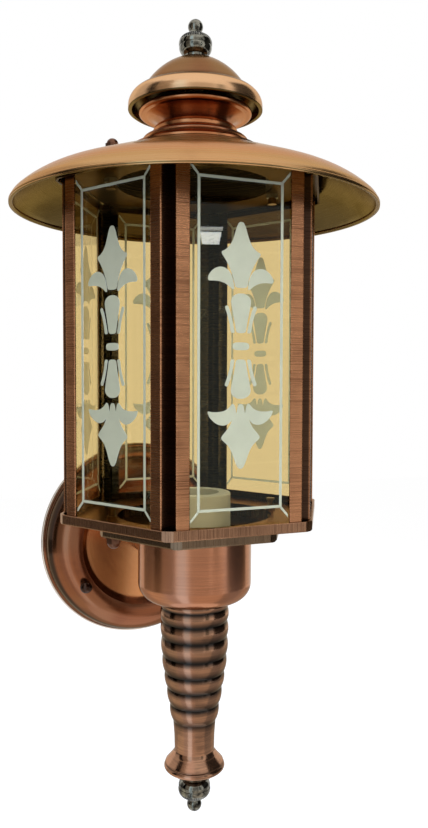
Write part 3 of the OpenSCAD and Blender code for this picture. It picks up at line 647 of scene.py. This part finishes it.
def add_patch(bm, pane, outline):
    """One closed patch of print, PRINT_T thick, just clear of the glass."""
    inner = GLASS_FACE + PRINT_GAP
    front = [bm.verts.new(on_pane(pane, x, inner + PRINT_T, y)) for x, y in outline]
    back = [bm.verts.new(on_pane(pane, x, inner, y)) for x, y in outline]
    for i, j, k in tessellate_polygon([[Vector((x, y, 0.0)) for x, y in outline]]):
        bm.faces.new((front[i], front[j], front[k]))
        bm.faces.new((back[k], back[j], back[i]))
    for i in range(len(outline)):
        j = (i + 1) % len(outline)
        bm.faces.new((front[j], front[i], back[i], back[j]))


def make_print(pane):
    """A pane's print as one mesh, in place of its share of the CAD node."""
    bm = bmesh.new()
    for outline in ornament() + border():
        add_patch(bm, pane, outline)
    bmesh.ops.recalc_face_normals(bm, faces=bm.faces)
    mesh = bpy.data.meshes.new(f"print_{pane}")
    bm.to_mesh(mesh)
    bm.free()
    mesh.materials.append(materials["print_enamel"])
    obj = bpy.data.objects.new(f"print_{pane}", mesh)
    bpy.context.collection.objects.link(obj)
    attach(obj, "root")
    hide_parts("pane_prints")


for number in range(1, PANES + 1):
    make_print(number)


# studio: angles in degrees to the picture's right of the camera's side, seen from above
WORLD_TONE = 0.95        # the world's light on the object, where the white background is 1
WORLD_LEVEL = 0.74
FLOOR_SIDE = 6.0
FLOOR_GLOW = 1.045       # lifts the floor to white where it is seen
FLOOR_SHARE = 0.85       # the rest of the floor keeps the shadow
SECTOR_LIFT = 0.004      # above the floor
SECTOR_NEAR, SECTOR_FAR = 0.20, 1.35
SECTOR_STEPS = 12
CARD_REACH = 1.4         # from the lantern's axis to most cards
SOFTBOX_ANGLE = 41.2
SOFTBOX_REACH = 1.30
LAMP_AIM = 0.12          # height that the lamps point at
WARM_WHITE = (1.0, 0.97, 0.94)
WINDOW_WHITE = (0.88, 0.95, 1.0)


def studio_direction(angle):
    """Level unit vector from the lantern at that angle of the studio."""
    back = -cam_forward
    right = Vector((cam_forward.y, -cam_forward.x, 0))
    a = math.radians(angle)
    return back * math.cos(a) + right * math.sin(a)


def seen_ray(tree):
    """1 for what the camera sees straight, mirrored or through glass."""
    path = tree.nodes.new("ShaderNodeLightPath")
    share = path.outputs["Is Camera Ray"]
    for kind in ("Is Glossy Ray", "Is Transmission Ray"):
        larger = tree.nodes.new("ShaderNodeMath")
        larger.operation = "MAXIMUM"
        tree.links.new(share, larger.inputs[0])
        tree.links.new(path.outputs[kind], larger.inputs[1])
        share = larger.outputs[0]
    return share


def stage_mesh(name, points, faces, material):
    """A piece of the studio, which isn't part of the lantern."""
    mesh = bpy.data.meshes.new(name)
    mesh.from_pydata(points, [], faces)
    mesh.materials.append(material)
    obj = bpy.data.objects.new(name, mesh)
    bpy.context.collection.objects.link(obj)
    return obj


def stage_rectangle(name, size, place, normal, material):
    """A flat piece of the studio that faces along the normal."""
    w, h = size[0] / 2, size[1] / 2
    obj = stage_mesh(name, [(-w, -h, 0), (w, -h, 0), (w, h, 0), (-w, h, 0)], [(0, 1, 2, 3)], material)
    turn = Vector(normal).to_track_quat("Z", "Y").to_matrix().to_4x4()
    obj.matrix_world = Matrix.Translation(place) @ turn
    return obj


def glowing(name, colour, level):
    """A material that only glows."""
    n = Nodes(name)
    n.surface(n.glow(colour, level))
    return n.mat


def only_mirrored(obj, in_panes):
    """Show a piece in reflections alone, and in those from a pane's far face if in_panes."""
    obj.visible_camera = False
    obj.visible_shadow = False
    obj.visible_diffuse = False
    obj.visible_transmission = in_panes


def world_background():
    """White where it is seen, and a little dimmer as a light."""
    world = bpy.data.worlds.new("studio")
    bpy.context.scene.world = world
    world.use_nodes = True
    tree = world.node_tree
    tree.nodes.clear()
    out = tree.nodes.new("ShaderNodeOutputWorld")
    mix = tree.nodes.new("ShaderNodeMixShader")
    tree.links.new(seen_ray(tree), mix.inputs[0])
    for place, tone, level in ((1, WORLD_TONE, WORLD_LEVEL), (2, 1.0, 1.0)):
        shade = tree.nodes.new("ShaderNodeBackground")
        shade.inputs[0].default_value = (tone, tone, tone, 1)
        shade.inputs[1].default_value = level
        tree.links.new(shade.outputs[0], mix.inputs[place])
    tree.links.new(mix.outputs[0], out.inputs[0])


def floor():
    """Pale floor that is white where it is seen, but for the shadow."""
    n = Nodes("floor")
    n.set(Base_Color=(0.93, 0.93, 0.93, 1), Roughness=0.9)
    n.blend_in(n.times(seen_ray(n.tree), FLOOR_SHARE), n.glow((1, 1, 1), FLOOR_GLOW))
    stage_rectangle("floor", (FLOOR_SIDE, FLOOR_SIDE), (0, 0, FLOOR_Z), UPRIGHT, n.mat)


def card(name, angle, width, low, high, level, colour=WARM_WHITE, reach=CARD_REACH, in_panes=False):
    """A tall card, between two heights, that only shows in reflections."""
    d = studio_direction(angle)
    place = AXIS + d * reach + UPRIGHT * ((low + high) / 2)
    obj = stage_rectangle(name, (width, high - low), place, -d, glowing(name, colour, level))
    only_mirrored(obj, in_panes)


def floor_sector(name, first, last, level, colour=WARM_WHITE):
    """Part of a ring on the floor, between two angles, that only shows in reflections."""
    middle = AXIS + UPRIGHT * (FLOOR_Z + SECTOR_LIFT)
    points = []
    for i in range(SECTOR_STEPS + 1):
        d = studio_direction(first + (last - first) * i / SECTOR_STEPS)
        points += [middle + d * SECTOR_NEAR, middle + d * SECTOR_FAR]
    faces = [(2 * i, 2 * i + 1, 2 * i + 3, 2 * i + 2) for i in range(SECTOR_STEPS)]
    only_mirrored(stage_mesh(name, points, faces, glowing(name, colour, level)), False)


def softbox_pane(name, low, high, low_width, high_width, level):
    """One lit pane of the softbox that shows small in the front pane's reflection."""
    d = studio_direction(SOFTBOX_ANGLE)
    side = UPRIGHT.cross(d)
    outline = ((-low_width / 2, low), (low_width / 2, low), (high_width / 2, high), (-high_width / 2, high))
    points = [AXIS + d * SOFTBOX_REACH + side * x + UPRIGHT * z for x, z in outline]
    only_mirrored(stage_mesh(name, points, [(0, 1, 2, 3)], glowing(name, WINDOW_WHITE, level)), True)


def area_lamp(name, angle, height, distance, size, power, colour=(1, 1, 1)):
    """A soft lamp that lights what is not metal and shows in no reflection."""
    data = bpy.data.lights.new(name, "AREA")
    data.shape = "RECTANGLE"
    data.size, data.size_y = size
    data.energy = power
    data.color = colour
    lamp = bpy.data.objects.new(name, data)
    bpy.context.collection.objects.link(lamp)
    place = AXIS + studio_direction(angle) * distance + UPRIGHT * height
    lamp.location = place
    lamp.rotation_euler = (AXIS + UPRIGHT * LAMP_AIM - place).to_track_quat("-Z", "Y").to_euler()
    lamp.visible_glossy = False
    lamp.visible_transmission = False


world_background()
floor()
softbox_pane("softbox_front", 0.412, 0.438, 0.036, 0.047, 11.0)
softbox_pane("softbox_top", 0.441, 0.449, 0.052, 0.052, 5.0)
card("card_far_left", -104, 0.80, -0.15, 1.8, 0.65)
card("card_far_left_low", -104, 0.80, -1.2, -0.15, 0.16)
card("card_left", -77, 0.52, -1.6, 1.8, 0.0, in_panes=True)
card("card_left_front", -52, 0.74, -1.6, 1.6, 0.34, (1.0, 0.88, 0.74))
card("strip_left", -24, 0.46, -1.2, 1.5, 1.25, (0.78, 0.98, 1.16), reach=1.38)
card("card_front", 11, 1.05, -1.6, 1.0, 0.62)
card("card_pane", 43.5, 0.30, -0.27, 0.90, 0.28, (0.90, 1.0, 0.98), reach=1.36, in_panes=True)
card("card_low_right", 46, 0.62, -1.4, -0.27, 0.85)
card("card_right", 96, 1.50, -1.6, 1.8, 0.05)
floor_sector("floor_left", -110, -60, 0.80, (1.0, 0.94, 0.80))
floor_sector("floor_left_front", -60, -36, 0.70)
floor_sector("floor_strip", -36, -12, 1.5, (0.84, 0.98, 1.12))
floor_sector("floor_front", -12, 62, 0.76, (1.0, 0.90, 0.80))
floor_sector("floor_right", 62, 112, 0.42)
floor_sector("floor_back", 112, 250, 0.60)
area_lamp("softbox_left", -28, 0.7, 1.4, (0.8, 1.2), 3, (1.0, 0.97, 0.95))
area_lamp("softbox_right", 36, 0.7, 1.6, (1.0, 1.0), 24, (1.0, 0.96, 0.92))
area_lamp("top_soft", 160, 1.3, 0.9, (1.2, 1.2), 10)
area_lamp("back_soft", 172, 0.9, 1.3, (1.2, 1.2), 40, (0.74, 0.92, 1.26))

bpy.context.scene.view_settings.view_transform = "Standard"
